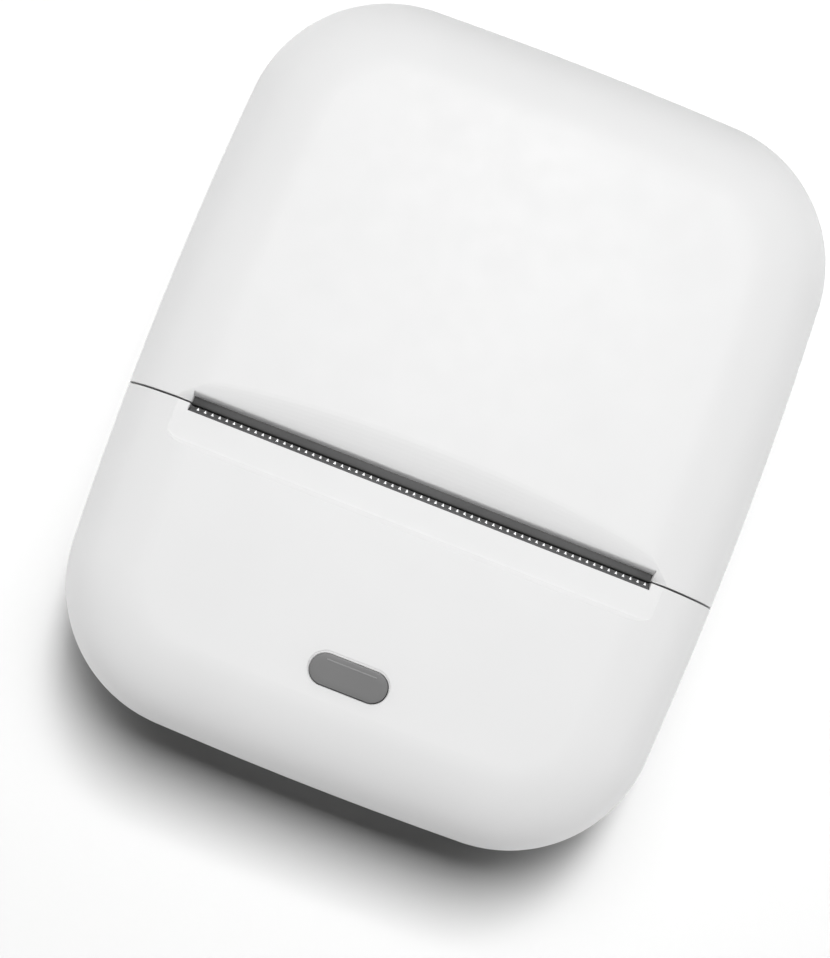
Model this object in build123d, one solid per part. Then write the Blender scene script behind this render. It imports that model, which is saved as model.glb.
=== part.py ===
from build123d import *
import math
import os

# Pocket thermal stencil printer, lying on its back with the slotted face up.
# X runs along the paper slot, +Y towards the hinge of the paper cover, +Z up.
# The origin is on the surface it rests on, under the middle of the casing.
# The casing's size follows from the paper roll, the board and the gears inside it.

# Paper roll and the bin that holds it
roll_width = 57.0
roll_radius = 15.0
roll_clearance = 0.6
side_clearance = 0.9
bin_wall = 1.2
bin_under = 0.4
bin_rim = 4.0
bin_lip = 1.0
deck_drop = 1.0
lug_half = 1.2
lug_reach = 10.0
roof_room = 4.0
thumb_radius = 7.0

# Casing mouldings
foot_height = 0.8
wall = 2.0
corner_radius = 19.0
side_bow = 2.1
end_bow = 1.2
face_edge_radius = 11.0
base_edge_radius = 8.0
seam_gap = 0.3
parting_gap = 0.25
lip_root = 2.0
lip_rise = 1.3
lip_thick = 1.0
lip_end = 30.0
lip_clear = 2.0
rib_thick = 1.0
rib_height = 4.0
rib_length = 11.8
stop_half = 15.0
root_bite = 1.0
fit = 0.15
running = 0.05

# Hinge of the paper cover
knuckle_radius = 2.4
knuckle_inset = 0.3
knuckle_gap = 0.3
knuckle_beyond = 1.0
knuckle_slack = 1.5
hinge_room = 9.5
pin_radius = 1.0
pin_short = 4.5

# Main board
board_length = 26.2
board_thick = 1.6
board_under_face = 10.0
board_front_room = 3.7
board_back_room = 9.6
board_inset = 4.3
board_corner = 6.0
usb_width = 8.94
usb_height = 3.2
usb_depth = 7.35
usb_shell = 0.3
usb_room = 0.15
usb_back = 1.0
usb_set_back = 0.2
tongue_half = 3.3
tongue_half_thick = 0.35
board_screw_side = 3.7
board_screw_end = 5.3
board_screw_rear = 3.4
header_height = 3.4
header_half_x = 3.2
header_half_y = 2.0
latch_length = 3.5
latch_height = 1.8
latch_side = 0.8
battery_header_side = 9.2
battery_header_back = 5.9
motor_header_side = 10.2
motor_header_back = 5.6
flex_header_back = 2.9
controller = (7.0, 7.0, 0.9)
driver = (5.0, 5.0, 0.9)
power_chip = (5.0, 4.5, 1.5)
controller_side = 13.7
controller_back = 12.9
driver_side = 17.7
driver_back = 10.9
power_side = 10.2
power_back = 16.15
radio_size = (18.0, 8.5, 2.0)
radio_back = 1.0
radio_corner = 0.8
led_size = (1.6, 1.2, 0.8)
led_side = 1.6

# Paper slot and the shallow recess around it
slot_beyond = 4.5
cover_setback = 1.5
front_setback = 1.05
beam_depth = 2.2
beam_beyond = 3.75
cover_beam_reach = 15.0
front_beam_reach = 7.0
cover_rib = 1.0
cover_rib_height = 1.2
cover_rib_pitch = 12.0
dish_beyond = 4.65
dish_reach = 5.9
dish_depth = 1.5
dish_rings = 8
tray_beyond = 4.25
tray_reach = 5.35
tray_depth = 0.55
tray_corner = 4.8

# Tear blade
tooth_pitch = 0.95
tooth_reach = 0.525
blade_thick = 0.35
blade_drop = 0.7
blade_leg = 3.2

# Platen
platen_radius = 4.5
platen_beyond = 0.5
platen_under_face = 11.0
platen_over_floor = 20.0
platen_shaft_radius = 1.5
nip_gap = 0.1
bush_radius = 3.0
bush_flange = 0.4
ear_gap = 0.5
ear_thick = 1.2
ear_radius = 4.2
cheek_gap = 0.4
cheek_thick = 1.2
shaft_beyond = 1.2
shaft_flat = 0.7
groove_width = 0.4
groove_depth = 0.3
clip_rim = 1.2
clip_mouth = 0.8
roller_chamfer = 0.3

# Platen bracket under the cover
bracket_thick = 1.0
bracket_front = 2.0
bracket_back = 3.2
bracket_screw_inset = 8.5
bracket_screw_reach = 12.3
bracket_screw_bite = 3.0
bracket_screw_slack = 0.4

# Chassis of the print mechanism
chassis_screw_inset = 4.5
chassis_screw_reach = 7.5
chassis_screw_slack = 0.7
chassis_back = 3.2
chassis_over_cell = 1.0
cheek_step = 1.6
chassis_thick = 1.2
chassis_under_face = 5.0
foot_rise = 6.0
guide_thick = 1.0
guide_step = 0.9
guide_below_head = 0.8
hook_flare = 0.6
hook_way = 12.0
sensor_width = 4.0
sensor_height = 3.2
sensor_rise = 9.0
sensor_reach = 0.8
bar_below = 2.0
cheek_reach = 5.2
cheek_shoulder = 1.5
cheek_waist = 6.0
bin_gap = 3.0

# Gear train, stub involute teeth
module = 0.5
addendum = 0.375
dedendum = 0.5
pressure_angle = 20.0
backlash = 0.08
platen_teeth = 20
idler_small_teeth = 12
idler_big_teeth = 40
pinion_teeth = 12
gear_gap = 0.4
gear_width = 2.2
wheel_gap = 0.2
wheel_width = 1.4
axle_radius = 0.75
axle_head = 0.5
web_holes = 5
web_hole_radius = 2.0
web_hole_circle = 6.2
side_room = 1.5

# Stepper motor
motor_radius = 7.5
motor_length = 10.0
motor_shaft_radius = 0.75
motor_plate = 0.8
motor_boss_radius = 3.0
motor_screw_radius = 0.8
motor_screw_head = 1.4
motor_screw_tip = 1.5
motor_screw_y = 5.9
motor_screw_z = 6.6
motor_ear_radius = 2.1
motor_hub_radius = 1.8
motor_hub_gap = 0.3
motor_room = 0.4
motor_angle = 20.92
rotor_inset = 1.0

# Thermal print head
head_below = 4.4
head_above = 6.2
heater_line = 0.15
heater_half = 0.9
ceramic_thick = 1.0
sink_thick = 3.4
sink_slots = 9
sink_slot_half = 1.0
sink_slot_depth = 1.6
sink_foot = 5.0
pivot_behind = 3.2
pivot_below = 2.6
pivot_pin_radius = 1.0
flex_half = 8.0
flex_thick = 0.25
flex_bend = 0.9
flex_behind = 4.9
spring_radius = 1.8
spring_wire = 0.4
spring_turns = 3
spring_length = 3.6
spring_inset = 13.5
spring_rise = 3.0

# Button and switch
button_from_end = 14.9
button_width = 10.3
button_depth = 4.1
button_proud = 0.3
button_rim = 0.45
button_flange = 1.0
button_flange_drop = 1.3
button_flange_margin = 1.1
button_well = 3.0
button_collar = 3.1
button_collar_drop = 2.6
switch_size = 6.0
switch_height = 3.4
switch_well = 1.2
switch_chamfer = 0.3
plunger_radius = 1.75
plunger_rise = 0.95
plunger_sunk = 0.6
stem_step = 0.2

# Battery
battery_inset = 5.0
battery_from_end = 8.5
battery_from_parting = 5.2
battery_corner = 2.0
tape_thick = 0.2
tape_inset = 4.0
lead_radius = 0.55
lead_pitch = 1.4
lead_bend = 2.0
lead_turn = 7.5
motor_lead_drop = 3.0

# Screws and feet
screw_radius = 1.0
screw_head_radius = 1.9
screw_head_height = 1.2
screw_bite = 4.0
screw_sunk = 0.48
thread_gap = 0.02
cross_long = 2.0
cross_wide = 0.5
cross_deep = 1.0
boss_radius = 2.6
foot_radius = 3.6
foot_pocket = 0.8
foot_edge = 0.4
front_foot_inset = 1.0
front_foot_from_end = 18.0
rear_foot_inset = 6.5
rear_foot_from_end = 13.5
post_joint_rise = 10.2
rear_post_rise = 5.8

# Across, from the paper outwards
half_roll = roll_width / 2
bay_half = half_roll + side_clearance
platen_half = half_roll + platen_beyond
ear_inner = platen_half + ear_gap
ear_outer = ear_inner + ear_thick
cheek_inner = ear_outer + cheek_gap
cheek_outer = cheek_inner + cheek_thick
gear_inner = cheek_outer + gear_gap
gear_outer = gear_inner + gear_width
wheel_inner = gear_outer + wheel_gap
wheel_outer = wheel_inner + wheel_width
width = 2 * (wheel_outer + side_room + wall)
slot_width = roll_width + slot_beyond
beam_half = slot_width / 2 + beam_beyond
dish_half = slot_width / 2 + dish_beyond
tray_half = slot_width / 2 + tray_beyond
tooth_count = int(slot_width / tooth_pitch) - 1
hinge_half = half_roll + knuckle_beyond
pin_half = hinge_half - pin_short
head_half = half_roll
spring_x = head_half - spring_inset
board_half = half_roll - board_inset
board_screw_x = board_half - board_screw_side
battery_half = half_roll - battery_inset
battery_header_x = battery_header_side - board_half
motor_header_x = board_half - motor_header_side
chassis_screw_x = half_roll - chassis_screw_inset
bracket_screw_x = half_roll - bracket_screw_inset

# Upwards, from the surface it rests on
base = foot_height
floor = base + wall
bin_radius = roll_radius + roll_clearance
bin_outer = bin_radius + bin_wall
roll_z = floor + bin_under + bin_outer
height = roll_z + roll_radius + roof_room + wall
ceiling = height - wall
beam_z = ceiling - beam_depth
split_height = roll_z
lid_bottom = split_height + seam_gap / 2
tray_top = split_height - seam_gap / 2
hinge_z = split_height
bin_rim_z = roll_z + bin_rim
deck_z = split_height - deck_drop
platen_z = height - platen_under_face
chassis_floor = platen_z - platen_over_floor
chassis_low = chassis_floor - cheek_step
cell_low = floor + tape_thick
cell_top = chassis_floor - chassis_over_cell
chassis_top = height - chassis_under_face
bar_low = platen_z - bar_below
sensor_z = chassis_floor + sensor_rise
head_low = platen_z - head_below
head_high = platen_z + head_above
head_pivot_z = platen_z - pivot_below
spring_z = platen_z + spring_rise
board_top = height - board_under_face
board_bottom = board_top - board_thick
flange_low = ceiling - button_flange_drop
switch_top = board_top + switch_height
sunk_head = base + foot_pocket + screw_sunk
post_joint_z = floor + post_joint_rise
rear_post_top = floor + rear_post_rise

# Lengthwise, from the button end to the hinge end
front_length = board_front_room + board_length + board_back_room
chassis_length = chassis_screw_reach + chassis_back
rear_length = chassis_length + bin_gap + 2 * bin_outer + hinge_room + knuckle_radius + knuckle_inset
length = front_length + rear_length
parting_y = front_length - length / 2
hinge_y = length / 2 - knuckle_radius - knuckle_inset
board_front = board_front_room - length / 2
board_back = board_front + board_length
board_screw_front = board_front + board_screw_end
board_screw_back = board_back - board_screw_rear
battery_header_y = board_back - battery_header_back
motor_header_y = board_back - motor_header_back
flex_header_y = board_back - flex_header_back
button_y = button_from_end - length / 2
battery_front = battery_from_end - length / 2
battery_back = parting_y - battery_from_parting
front_foot = (half_roll - front_foot_inset, front_foot_from_end - length / 2)
rear_foot = (half_roll - rear_foot_inset, length / 2 - rear_foot_from_end)
platen_y = parting_y + platen_radius
bracket_screw_y = parting_y + bracket_screw_reach
chassis_screw_y = parting_y + chassis_screw_reach
chassis_end = chassis_screw_y + chassis_back
roll_y = chassis_end + bin_gap + bin_outer
guide_back = parting_y - guide_step
head_face = parting_y - nip_gap
sink_front = head_face - ceramic_thick
sink_back = sink_front - sink_thick
head_pivot_y = parting_y - pivot_behind
spring_bar = sink_back - spring_length


def block(x, y, z):
    """A box between three pairs of limits."""
    size = Box(x[1] - x[0], y[1] - y[0], z[1] - z[0])
    return Pos((x[0] + x[1]) / 2, (y[0] + y[1]) / 2, (z[0] + z[1]) / 2) * size


def rod(x, y, z, radius):
    """A cylinder along X between the two limits in x."""
    return Pos((x[0] + x[1]) / 2, y, z) * Rot(0, 90, 0) * Cylinder(radius, x[1] - x[0])


def post(x, y, z, radius):
    """A cylinder along Z between the two limits in z."""
    return Pos(x, y, (z[0] + z[1]) / 2) * Cylinder(radius, z[1] - z[0])


def side_plate(points, x):
    """A plate whose outline is given as (Y, Z) points, between the two limits in x."""
    face = make_face(Polyline(*points, close=True))
    return extrude(Plane.YZ.offset(x[0]) * face, x[1] - x[0])


def both_sides(piece):
    """A piece and its mirror image across the middle of the printer."""
    return piece + mirror(piece, Plane.YZ)


def stadium(margin, z):
    """The button's outline, widened by a margin, between the two limits in z."""
    face = SlotOverall(button_width + 2 * margin, button_depth + 2 * margin)
    return Pos(0, button_y, 0) * extrude(Pos(0, 0, z[0]) * face, z[1] - z[0])


def write(solid, name):
    """Saves one sub-part under the name of its node."""
    export_step(solid, f"parts/{name}.step")


def outline(inset):
    """The casing seen from above: four bowed sides with large rounded corners."""
    half_w = width / 2 - inset
    half_l = length / 2 - inset
    corner_x = half_w - side_bow
    corner_y = half_l - end_bow
    right = ThreePointArc((corner_x, -corner_y), (half_w, 0), (corner_x, corner_y))
    back = ThreePointArc((corner_x, corner_y), (0, half_l), (-corner_x, corner_y))
    left = ThreePointArc((-corner_x, corner_y), (-half_w, 0), (-corner_x, -corner_y))
    front = ThreePointArc((-corner_x, -corner_y), (0, -half_l), (corner_x, -corner_y))
    face = make_face(right + back + left + front)
    return fillet(face.vertices(), corner_radius - inset)


def rounded_body(inset):
    """The soap-bar form of the casing, or the hollow inside it."""
    low = base + inset
    high = height - inset
    body = extrude(Pos(0, 0, low) * outline(inset), high - low)
    body = fillet(body.edges().group_by(Axis.Z)[-1], face_edge_radius - inset)
    return fillet(body.edges().group_by(Axis.Z)[0], base_edge_radius - inset)


outer = rounded_body(0)
inner = rounded_body(wall)
core = rounded_body(wall / 2)
shell = outer - inner
far = (-length, length)


def slot_dish():
    """The cover's face rolls down into the slot inside a half ellipse."""
    rings = []
    for k in range(dish_rings + 1):
        share = k / dish_rings
        shrink = (dish_reach - cover_setback) * share
        ring = Ellipse(dish_half - shrink, dish_reach - shrink)
        rings.append(Pos(0, parting_y, height - dish_depth * share**2) * ring)
    lid = extrude(Pos(0, parting_y, height) * Ellipse(dish_half, dish_reach), 1)
    return loft(rings, ruled=True) + lid


def slot_tray():
    """A shallow tray with rounded corners in the front casing, before the slot."""
    top = RectangleRounded(2 * tray_half, 2 * tray_reach, tray_corner)
    low = RectangleRounded(
        2 * (tray_half - tray_depth), 2 * (tray_reach - tray_depth), tray_corner - tray_depth
    )
    sides = [Pos(0, parting_y, height) * top, Pos(0, parting_y, height - tray_depth) * low]
    return loft(sides, ruled=True) + extrude(Pos(0, parting_y, height) * top, 1)


def case_knuckles():
    """Limits in X of the hinge knuckles that belong to the bottom case."""
    third = hinge_half / 3
    half_gap = knuckle_gap / 2
    return [(-hinge_half, -2 * third - half_gap), (-third + half_gap, third - half_gap),
            (2 * third + half_gap, hinge_half)]


def cover_knuckles():
    """Limits in X of the hinge knuckles that belong to the paper cover."""
    third = hinge_half / 3
    half_gap = knuckle_gap / 2
    return [(-2 * third + half_gap, -third - half_gap), (third + half_gap, 2 * third - half_gap)]


def feet_places():
    """Centres of the four feet, with a case screw above each."""
    return [(sx * x, y) for x, y in (front_foot, rear_foot) for sx in (-1, 1)]


def bottom_case():
    """Lower shell with screw bosses, hinge knuckles, battery ribs and foot pockets."""
    body = shell & block(far, far, (0, tray_top))
    body += locating_lip()
    rooted = floor - wall / 2
    for x, y in feet_places():
        top = post_joint_z if y < 0 else rear_post_top
        body += post(x, y, (rooted, top), boss_radius) & core
    rib_z = (rooted, floor + rib_height)
    rib_y = (battery_back - rib_length, battery_back)
    for sx in (-1, 1):
        body += post(sx * chassis_screw_x, chassis_screw_y, (rooted, chassis_floor), boss_radius)
        rib_x = sorted((sx * (battery_half + fit), sx * (battery_half + fit + rib_thick)))
        body += block(rib_x, rib_y, rib_z)
    stop_y = (battery_back + fit, battery_back + fit + rib_thick)
    body += block((-stop_half, stop_half), stop_y, rib_z)
    for x in case_knuckles():
        body += rod(x, hinge_y, hinge_z, knuckle_radius) & outer
    relief = knuckle_radius + knuckle_gap
    for x in cover_knuckles():
        body -= rod((x[0] - knuckle_gap, x[1] + knuckle_gap), hinge_y, hinge_z, relief)
    body -= rod((-pin_half, width), hinge_y, hinge_z, pin_radius + running)
    for x, y in feet_places():
        body -= post(x, y, (0, base + foot_pocket), foot_radius)
        body -= post(x, y, (0, sunk_head + screw_head_height), screw_head_radius + fit)
        body -= post(x, y, (0, height), screw_radius + fit)
    for sx in (-1, 1):
        body -= post(sx * chassis_screw_x, chassis_screw_y, (floor + root_bite, height), screw_radius)
    return body


def locating_lip():
    """A lip inside the upper shells that closes the seam, clear of the hinge and the slot's ends."""
    low = tray_top - lip_root
    root = extrude(Pos(0, 0, low) * (outline(wall / 2) - outline(wall + lip_thick)), lip_root)
    lip = extrude(Pos(0, 0, tray_top) * (outline(wall + fit) - outline(wall + lip_thick)), lip_rise)
    ring = root + lip
    reach = pitch_radius(idler_big_teeth) + lip_clear
    front = ring & block(far, (-length, idler_centre[0] - reach), (0, height))
    sides = ring & block(far, (idler_centre[0] + reach, lip_end), (0, height))
    return front + sides


def front_case():
    """Upper shell at the button end, with the tray before the slot."""
    edge = parting_y - parting_gap / 2
    body = shell & block(far, (-length, edge), (lid_bottom, height))
    body += block((-beam_half, beam_half), (parting_y - front_beam_reach, edge), (beam_z, height)) & core
    x, y = front_foot
    for sx in (-1, 1):
        body += post(sx * x, y, (post_joint_z + seam_gap / 2, height), boss_radius) & core
        for screw_y in (board_screw_front, board_screw_back):
            body += post(sx * board_screw_x, screw_y, (board_top, height), boss_radius) & core
    body += stadium(button_collar, (ceiling - button_collar_drop, ceiling + wall / 2))
    body -= slot_tray()
    body -= block((-slot_width / 2, slot_width / 2), (parting_y - front_setback, parting_y), (0, 2 * height))
    body -= stadium(button_flange_margin + fit, (ceiling - button_well, ceiling))
    body -= stadium(fit, (0, 2 * height))
    room = 2 * (fit + usb_room)
    mouth = RectangleRounded(usb_width + room, usb_height + room, usb_height / 2)
    mouth = Pos(0, -length / 2 - root_bite, board_bottom - usb_height / 2) * Rot(90, 0, 0) * mouth
    body -= extrude(mouth, -(wall + 1.5 * root_bite))
    for sx in (-1, 1):
        body -= post(sx * x, y, (0, post_joint_z + 2 * screw_bite), screw_radius)
        for screw_y in (board_screw_front, board_screw_back):
            body -= post(sx * board_screw_x, screw_y, (0, board_top + screw_bite + root_bite), screw_radius)
    return body


def paper_cover():
    """Hinged shell over the paper bay, with its slot beam and hinge knuckles."""
    edge = parting_y + parting_gap / 2
    body = shell & block(far, (edge, length), (lid_bottom, height))
    beam_end = parting_y + cover_beam_reach
    body += block((-beam_half, beam_half), (edge, beam_end), (beam_z, height)) & core
    rib_y = (beam_end - root_bite, roll_y + roll_radius)
    rib_z = (ceiling - cover_rib_height, ceiling + wall / 2)
    for rib_x in (-2, -1, 0, 1, 2):
        x = rib_x * cover_rib_pitch
        body += block((x - cover_rib / 2, x + cover_rib / 2), rib_y, rib_z)
    body -= slot_dish()
    body -= block((-slot_width / 2, slot_width / 2), (parting_y, parting_y + cover_setback), (0, 2 * height))
    swing = (knuckle_radius + knuckle_inset) * math.sqrt(2) + fit
    swing_half = hinge_half + knuckle_slack
    body -= rod((-swing_half, swing_half), hinge_y, hinge_z, swing)
    arm_front = hinge_y - knuckle_radius
    arm_top = hinge_z + 2 * swing
    for x in cover_knuckles():
        body += rod(x, hinge_y, hinge_z, knuckle_radius) & outer
        body += block(x, (arm_front, hinge_y), (hinge_z, arm_top))
        body += block(x, (arm_front, length / 2 - wall / 2), (hinge_z + swing, arm_top)) & outer
    body -= rod((-hinge_half, hinge_half), hinge_y, hinge_z, pin_radius + running)
    for x in bracket_screw_places():
        body -= post(x, bracket_screw_y, (beam_z, beam_z + bracket_screw_bite), screw_radius)
    return body


def hinge_pin():
    """Steel pin through all the knuckles."""
    return rod((-pin_half, pin_half), hinge_y, hinge_z, pin_radius)


def rubber_feet():
    """Four round feet, seated in the pockets under the case screws."""
    feet = []
    for x, y in feet_places():
        foot = post(x, y, (0, base + foot_pocket), foot_radius - running)
        feet.append(fillet(foot.edges().group_by(Axis.Z)[0], foot_edge))
    return Compound(children=feet)


def screw(x, y, head_z, tip_z, crossed=True):
    """A screw along Z. The outside of its head is at head_z and its shank ends at tip_z."""
    way = 1 if tip_z > head_z else -1
    body = post(x, y, sorted((head_z, head_z + way * screw_head_height)), screw_head_radius)
    body += post(x, y, sorted((head_z, tip_z)), screw_radius - thread_gap)
    if crossed:
        cross = Box(cross_long, cross_wide, cross_deep) + Box(cross_wide, cross_long, cross_deep)
        body -= Pos(x, y, head_z) * cross
    return body


def case_screws():
    """Four screws from below, two into the front casing and two into the paper bin."""
    screws = []
    for x, y in feet_places():
        tip = post_joint_z + 1.5 * screw_bite if y < 0 else rear_post_top + screw_bite
        screws.append(screw(x, y, sunk_head, tip))
    return Compound(children=screws)


def pitch_radius(teeth):
    """Pitch radius of a gear with so many teeth."""
    return module * teeth / 2


# The idler sits square to the platen's swing, so that their teeth part as the cover opens
platen_centre = (platen_y, platen_z)
swing_radius = math.hypot(platen_y - hinge_y, platen_z - hinge_z)
lift = ((platen_z - hinge_z) / swing_radius, (hinge_y - platen_y) / swing_radius)
first_mesh = pitch_radius(platen_teeth) + pitch_radius(idler_small_teeth)
second_mesh = pitch_radius(idler_big_teeth) + pitch_radius(pinion_teeth)
idler_centre = (platen_y - first_mesh * lift[0], platen_z - first_mesh * lift[1])
motor_y = idler_centre[0] - second_mesh * math.cos(math.radians(motor_angle))
motor_z = idler_centre[1] - second_mesh * math.sin(math.radians(motor_angle))
motor_centre = (motor_y, motor_z)


def involute(base_r, r):
    """Polar angle of the involute at radius r."""
    if r <= base_r:
        return 0.0
    a = math.acos(base_r / r)
    return math.tan(a) - a


def gear_face(teeth):
    """A spur gear outline with involute flanks, one tooth pointing along +X of its sketch."""
    pitch_r = pitch_radius(teeth)
    base_r = pitch_r * math.cos(math.radians(pressure_angle))
    root_r = pitch_r - dedendum
    tip_r = pitch_r + addendum
    half = (math.pi * module / 2 - backlash) / (2 * pitch_r) + involute(base_r, pitch_r)
    start_r = max(base_r, root_r)
    radii = [start_r + (tip_r - start_r) * s for s in (0, 0.5, 1)]
    if root_r < start_r:
        radii = [root_r] + radii
    points = []
    for k in range(teeth):
        middle = 2 * math.pi * k / teeth
        for way in (-1, 1):
            flank = [(r, middle + way * (half - involute(base_r, r))) for r in radii]
            points += flank if way < 0 else flank[::-1]
    return make_face(Polyline(*[(r * math.cos(a), r * math.sin(a)) for r, a in points], close=True))


def gear(teeth, x, centre, towards, tooth=True):
    """A gear along X, with a tooth, or a gap, on the line to its mate."""
    angle = math.degrees(math.atan2(towards[1] - centre[1], towards[0] - centre[0]))
    turn = angle if tooth else angle + 180 / teeth
    face = Plane.YZ.offset(x[0]) * Pos(*centre) * Rot(0, 0, turn) * gear_face(teeth)
    return extrude(face, x[1] - x[0])


def shaft_flat_cut(x):
    """What the flat takes off the platen shaft, between the two limits in x."""
    r = platen_shaft_radius
    return block(x, (platen_y - r, platen_y + r), (platen_z + shaft_flat * r, platen_z + 2 * r))


def clip_groove_x():
    """Limits in X of the retaining ring's groove, outside the left cheek."""
    outer_side = -cheek_outer - shaft_beyond + groove_width
    return (outer_side, outer_side + groove_width)


def platen_shaft():
    """Steel shaft of the platen, with a flat at the gear."""
    shaft = rod((-cheek_outer - shaft_beyond, gear_outer), platen_y, platen_z, platen_shaft_radius)
    ring = rod(clip_groove_x(), platen_y, platen_z, 2 * platen_shaft_radius)
    ring -= rod(clip_groove_x(), platen_y, platen_z, platen_shaft_radius - groove_depth)
    return shaft - shaft_flat_cut((gear_inner, width)) - ring


def platen_roller():
    """Rubber sleeve that drives the paper."""
    sleeve = rod((-platen_half, platen_half), platen_y, platen_z, platen_radius)
    sleeve = chamfer(sleeve.edges().filter_by(GeomType.CIRCLE), roller_chamfer)
    return sleeve - rod((-platen_half, platen_half), platen_y, platen_z, platen_shaft_radius)


def platen_gear():
    """Moulded gear on the flat of the platen shaft."""
    x = (gear_inner, gear_outer)
    wheel = gear(platen_teeth, x, platen_centre, idler_centre, tooth=False)
    return wheel - (rod(x, platen_y, platen_z, platen_shaft_radius) - shaft_flat_cut(x))


def shaft_clip():
    """Open retaining ring in the groove of the platen shaft."""
    x = clip_groove_x()
    ring = rod(x, platen_y, platen_z, platen_shaft_radius + clip_rim)
    ring -= rod(x, platen_y, platen_z, platen_shaft_radius - groove_depth)
    return ring - block(x, (platen_y - clip_mouth, platen_y + clip_mouth), (platen_z, height))


def platen_bushes():
    """Two flanged bushes, fixed in the bracket's ears, that seat in the chassis hooks."""
    sleeve = rod((ear_inner, cheek_outer), platen_y, platen_z, bush_radius)
    sleeve += rod((ear_outer, cheek_inner - running), platen_y, platen_z, bush_radius + bush_flange)
    sleeve -= rod((0, width), platen_y, platen_z, platen_shaft_radius + running)
    return both_sides(sleeve)


def platen_bracket():
    """Steel bracket under the cover's beam, with an ear at each end for a bush."""
    front = platen_y - bracket_front
    back = bracket_screw_y + bracket_back
    plate = block((-ear_outer, ear_outer), (front, back), (beam_z - bracket_thick, beam_z))
    ear_x = (ear_inner, ear_outer)
    ear = side_plate(
        [(front, beam_z), (back, beam_z),
         (platen_y + ear_radius, platen_z), (platen_y - ear_radius, platen_z)],
        ear_x,
    )
    ear += rod(ear_x, platen_y, platen_z, ear_radius)
    ear -= rod((0, width), platen_y, platen_z, bush_radius)
    bracket = plate + both_sides(ear)
    for x in bracket_screw_places():
        bracket -= post(x, bracket_screw_y, (0, height), screw_radius + fit)
    return bracket


def bracket_screw_places():
    """Places in X of the three bracket screws."""
    return (-bracket_screw_x, 0, bracket_screw_x)


def bracket_screws():
    """Three screws that hold the bracket to the cover."""
    head = beam_z - bracket_thick - screw_head_height
    tip = beam_z + bracket_screw_bite - bracket_screw_slack
    return Compound(children=[screw(x, bracket_screw_y, head, tip) for x in bracket_screw_places()])


def inner_frame():
    """Paper bin: a round trough with end walls, screwed down at the hinge end."""
    bay_end = bay_half + bin_wall
    x = (-bay_end, bay_end)
    hollow = rod((-bay_half, bay_half), roll_y, roll_z, bin_radius)
    trough = rod(x, roll_y, roll_z, bin_outer) - hollow
    trough &= block(far, far, (0, bin_rim_z))
    rim_z = (bin_rim_z - bin_wall, bin_rim_z)
    lip = block(x, (roll_y - bin_outer - bin_lip, roll_y - bin_radius), rim_z)
    rear = block(x, (roll_y + bin_radius, roll_y + bin_outer + bin_lip), rim_z)
    deck = extrude(Pos(0, 0, deck_z - bin_wall) * outline(wall + lip_thick + 2 * fit), bin_wall)
    deck &= block(far, (roll_y - bin_outer, hinge_y - knuckle_radius - 2 * knuckle_gap), (0, height))
    body = trough + lip + rear + deck - hollow
    lug_z = (rear_post_top + seam_gap / 2, rear_post_top + 1.5 * screw_bite)
    for sx in (-1, 1):
        notch_x = sorted((sx * (bay_half - root_bite), sx * (bay_end + root_bite)))
        body -= rod(notch_x, roll_y, bin_rim_z, thumb_radius)
        lug_x = sx * rear_foot[0]
        lug = post(lug_x, rear_foot[1], lug_z, boss_radius)
        lug += block((lug_x - lug_half, lug_x + lug_half), (roll_y + lug_reach, rear_foot[1]), lug_z)
        body += lug - rod(far, roll_y, roll_z, bin_radius + bin_wall / 2)
        body -= post(lug_x, rear_foot[1], (0, rear_post_top + screw_bite + root_bite), screw_radius)
    return body


def motor_screw_places():
    """Centres of the two motor screws, as (Y, Z)."""
    y, z = motor_centre
    return [(y + s * motor_screw_y, z + s * motor_screw_z) for s in (-1, 1)]


def chassis():
    """Frame of the print mechanism: two cheeks with open hooks, a guide wall and a spring bar."""
    x = (cheek_inner, cheek_outer)
    across = (-cheek_outer, cheek_outer)
    reach = bush_radius + running
    cheek_front = motor_centre[0] - motor_radius - motor_room
    cheek_back = platen_y + cheek_reach
    shoulder = chassis_top - cheek_shoulder
    bar_back = spring_bar - guide_thick
    cheek = side_plate(
        [(cheek_front, chassis_low), (chassis_end, chassis_low),
         (chassis_end, chassis_floor + foot_rise), (cheek_back, platen_z - cheek_waist),
         (cheek_back, platen_z + reach / 3), (platen_y + bush_radius + cheek_thick, shoulder),
         (platen_y - bush_radius - guide_thick, shoulder), (sink_front, chassis_top),
         (bar_back, chassis_top), (bar_back, bar_low), (cheek_front, motor_z + motor_radius)],
        x,
    )
    cheek -= rod(x, platen_y, platen_z, reach)
    cheek -= side_plate(
        [(platen_y - reach, platen_z), (platen_y + reach, platen_z),
         (platen_y + reach + hook_flare * hook_way, platen_z + hook_way),
         (platen_y - reach, platen_z + hook_way)],
        x,
    )
    cheek -= rod(x, head_pivot_y, head_pivot_z, pivot_pin_radius + running)
    body = both_sides(cheek)
    guide_y = (guide_back, guide_back + guide_thick)
    window_x = (-sensor_width / 2, sensor_width / 2)
    window_z = (sensor_z - sensor_height / 2, sensor_z + sensor_height / 2)
    body += block(across, (guide_back, chassis_end), (chassis_floor, chassis_floor + chassis_thick))
    body += block(across, guide_y, (chassis_floor, head_low - guide_below_head))
    body += block(across, (bar_back, spring_bar), (bar_low, chassis_top))
    body -= block(window_x, guide_y, window_z)
    for sx in (-1, 1):
        body -= post(sx * chassis_screw_x, chassis_screw_y, (0, height), screw_radius + fit)
    body -= rod(x, *motor_centre, motor_boss_radius)
    body -= rod(x, *idler_centre, axle_radius)
    for at in motor_screw_places():
        body -= rod(x, *at, motor_screw_radius)
    return body


def chassis_screws():
    """Two screws that hold the chassis to the bottom case."""
    head = chassis_floor + chassis_thick + screw_head_height
    tip = floor + root_bite + chassis_screw_slack
    return Compound(children=[screw(sx * chassis_screw_x, chassis_screw_y, head, tip) for sx in (-1, 1)])


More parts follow.
